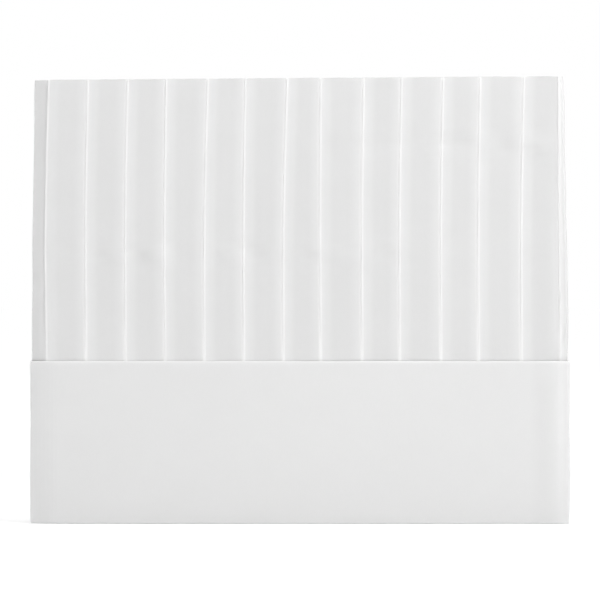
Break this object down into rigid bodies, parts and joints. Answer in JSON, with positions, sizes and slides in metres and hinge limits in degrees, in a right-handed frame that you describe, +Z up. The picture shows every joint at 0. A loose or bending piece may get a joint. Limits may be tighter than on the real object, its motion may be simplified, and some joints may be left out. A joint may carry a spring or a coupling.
{
  "type": "chef toque",
  "caption": "Tall pleated paper chef's toque with a plain folded headband, packed flat and hinged along its creases so that it opens to a round hat.",
  "frame": {"origin": "centre of the head opening, in the plane of the headband's lower edge", "axes": "+Z up the hat, -Y out of the front, +X to the right as the front is looked at"},
  "size_m": [0.279, 0.0147, 0.2316],
  "materials": {
    "pleated_paper": "matte",
    "headband": "matte"
  },
  "bodies": {
    "front_panel_1": {"pleats_left_return": "pleated_paper", "band_left_return": "headband", "pleats_front_1": "pleated_paper", "band_front_1": "headband"},
    "front_panel_2": {"pleats_front_2": "pleated_paper", "band_front_2": "headband"},
    "front_panel_3": {"pleats_front_3": "pleated_paper", "band_front_3": "headband"},
    "front_panel_4": {"pleats_front_4": "pleated_paper", "band_front_4": "headband"},
    "front_panel_5": {"pleats_front_5": "pleated_paper", "band_front_5": "headband"},
    "front_panel_6": {"pleats_front_6": "pleated_paper", "band_front_6": "headband"},
    "front_panel_7": {"pleats_front_7": "pleated_paper", "band_front_7": "headband"},
    "back_panel_1": {"pleats_right_return": "pleated_paper", "band_right_return": "headband", "pleats_back_1": "pleated_paper", "band_back_1": "headband"},
    "back_panel_2": {"pleats_back_2": "pleated_paper", "band_back_2": "headband"},
    "back_panel_3": {"pleats_back_3": "pleated_paper", "band_back_3": "headband"},
    "back_panel_4": {"pleats_back_4": "pleated_paper", "band_back_4": "headband", "band_seam_lap": "headband"},
    "back_panel_5": {"pleats_back_5": "pleated_paper", "band_back_5": "headband"},
    "back_panel_6": {"pleats_back_6": "pleated_paper", "band_back_6": "headband"},
    "back_panel_7": {"pleats_back_7": "pleated_paper", "band_back_7": "headband"}
  },
  "joints": [
    {"name": "front_crease_4", "type": "hinge", "parent": "front_panel_4", "child": "front_panel_5", "pos_m": [0.01132, -0.00479, 0], "axis": [0, 0, 1], "range_deg": [-0.75, 19.55]},
    {"name": "front_crease_5", "type": "hinge", "parent": "front_panel_5", "child": "front_panel_6", "pos_m": [0.05212, -0.00443, 0], "axis": [0, 0, 1], "range_deg": [-1.03, 26.75]},
    {"name": "front_crease_6", "type": "hinge", "parent": "front_panel_6", "child": "front_panel_7", "pos_m": [0.09291, -0.00372, 0], "axis": [0, 0, 1], "range_deg": [-1.09, 28.32]},
    {"name": "side_fold_right", "type": "hinge", "parent": "front_panel_7", "child": "back_panel_1", "pos_m": [0.1383, -0.00253, 0], "axis": [0, 0, -1], "range_deg": [0, 142]},
    {"name": "back_crease_1", "type": "hinge", "parent": "back_panel_1", "child": "back_panel_2", "pos_m": [0.08967, 0.00372, 0], "axis": [0, 0, 1], "range_deg": [-1.03, 26.75]},
    {"name": "back_crease_2", "type": "hinge", "parent": "back_panel_2", "child": "back_panel_3", "pos_m": [0.04888, 0.00443, 0], "axis": [0, 0, 1], "range_deg": [-1.03, 26.75]},
    {"name": "front_crease_3", "type": "hinge", "parent": "front_panel_4", "child": "front_panel_3", "pos_m": [-0.00808, -0.00479, 0], "axis": [0, 0, -1], "range_deg": [-0.75, 19.55]},
    {"name": "front_crease_2", "type": "hinge", "parent": "front_panel_3", "child": "front_panel_2", "pos_m": [-0.04888, -0.00443, 0], "axis": [0, 0, -1], "range_deg": [-1.03, 26.75]},
    {"name": "front_crease_1", "type": "hinge", "parent": "front_panel_2", "child": "front_panel_1", "pos_m": [-0.08967, -0.00372, 0], "axis": [0, 0, -1], "range_deg": [-1.03, 26.75]},
    {"name": "side_fold_left", "type": "hinge", "parent": "front_panel_1", "child": "back_panel_7", "pos_m": [-0.1383, 0.00253, 0], "axis": [0, 0, 1], "range_deg": [-5.68, 147.68]},
    {"name": "back_crease_6", "type": "hinge", "parent": "back_panel_7", "child": "back_panel_6", "pos_m": [-0.09291, 0.00372, 0], "axis": [0, 0, -1], "range_deg": [-1.09, 28.32]},
    {"name": "back_crease_5", "type": "hinge", "parent": "back_panel_6", "child": "back_panel_5", "pos_m": [-0.05212, 0.00443, 0], "axis": [0, 0, -1], "range_deg": [-1.03, 26.75]},
    {"name": "back_crease_4", "type": "hinge", "parent": "back_panel_5", "child": "back_panel_4", "pos_m": [-0.01132, 0.00479, 0], "axis": [0, 0, -1], "range_deg": [-0.75, 19.55]}
  ],
  "couplings": [
    {"joint": "front_crease_4", "follows": "side_fold_right", "ratio": 0.13241},
    {"joint": "front_crease_5", "follows": "side_fold_right", "ratio": 0.18114},
    {"joint": "front_crease_6", "follows": "side_fold_right", "ratio": 0.19177},
    {"joint": "back_crease_1", "follows": "side_fold_right", "ratio": 0.18114},
    {"joint": "back_crease_2", "follows": "side_fold_right", "ratio": 0.18114},
    {"joint": "front_crease_3", "follows": "side_fold_right", "ratio": 0.13241},
    {"joint": "front_crease_2", "follows": "side_fold_right", "ratio": 0.18114},
    {"joint": "front_crease_1", "follows": "side_fold_right", "ratio": 0.18114},
    {"joint": "side_fold_left", "follows": "side_fold_right", "ratio": 1},
    {"joint": "back_crease_6", "follows": "side_fold_right", "ratio": 0.19177},
    {"joint": "back_crease_5", "follows": "side_fold_right", "ratio": 0.18114},
    {"joint": "back_crease_4", "follows": "side_fold_right", "ratio": 0.13241}
  ]
}
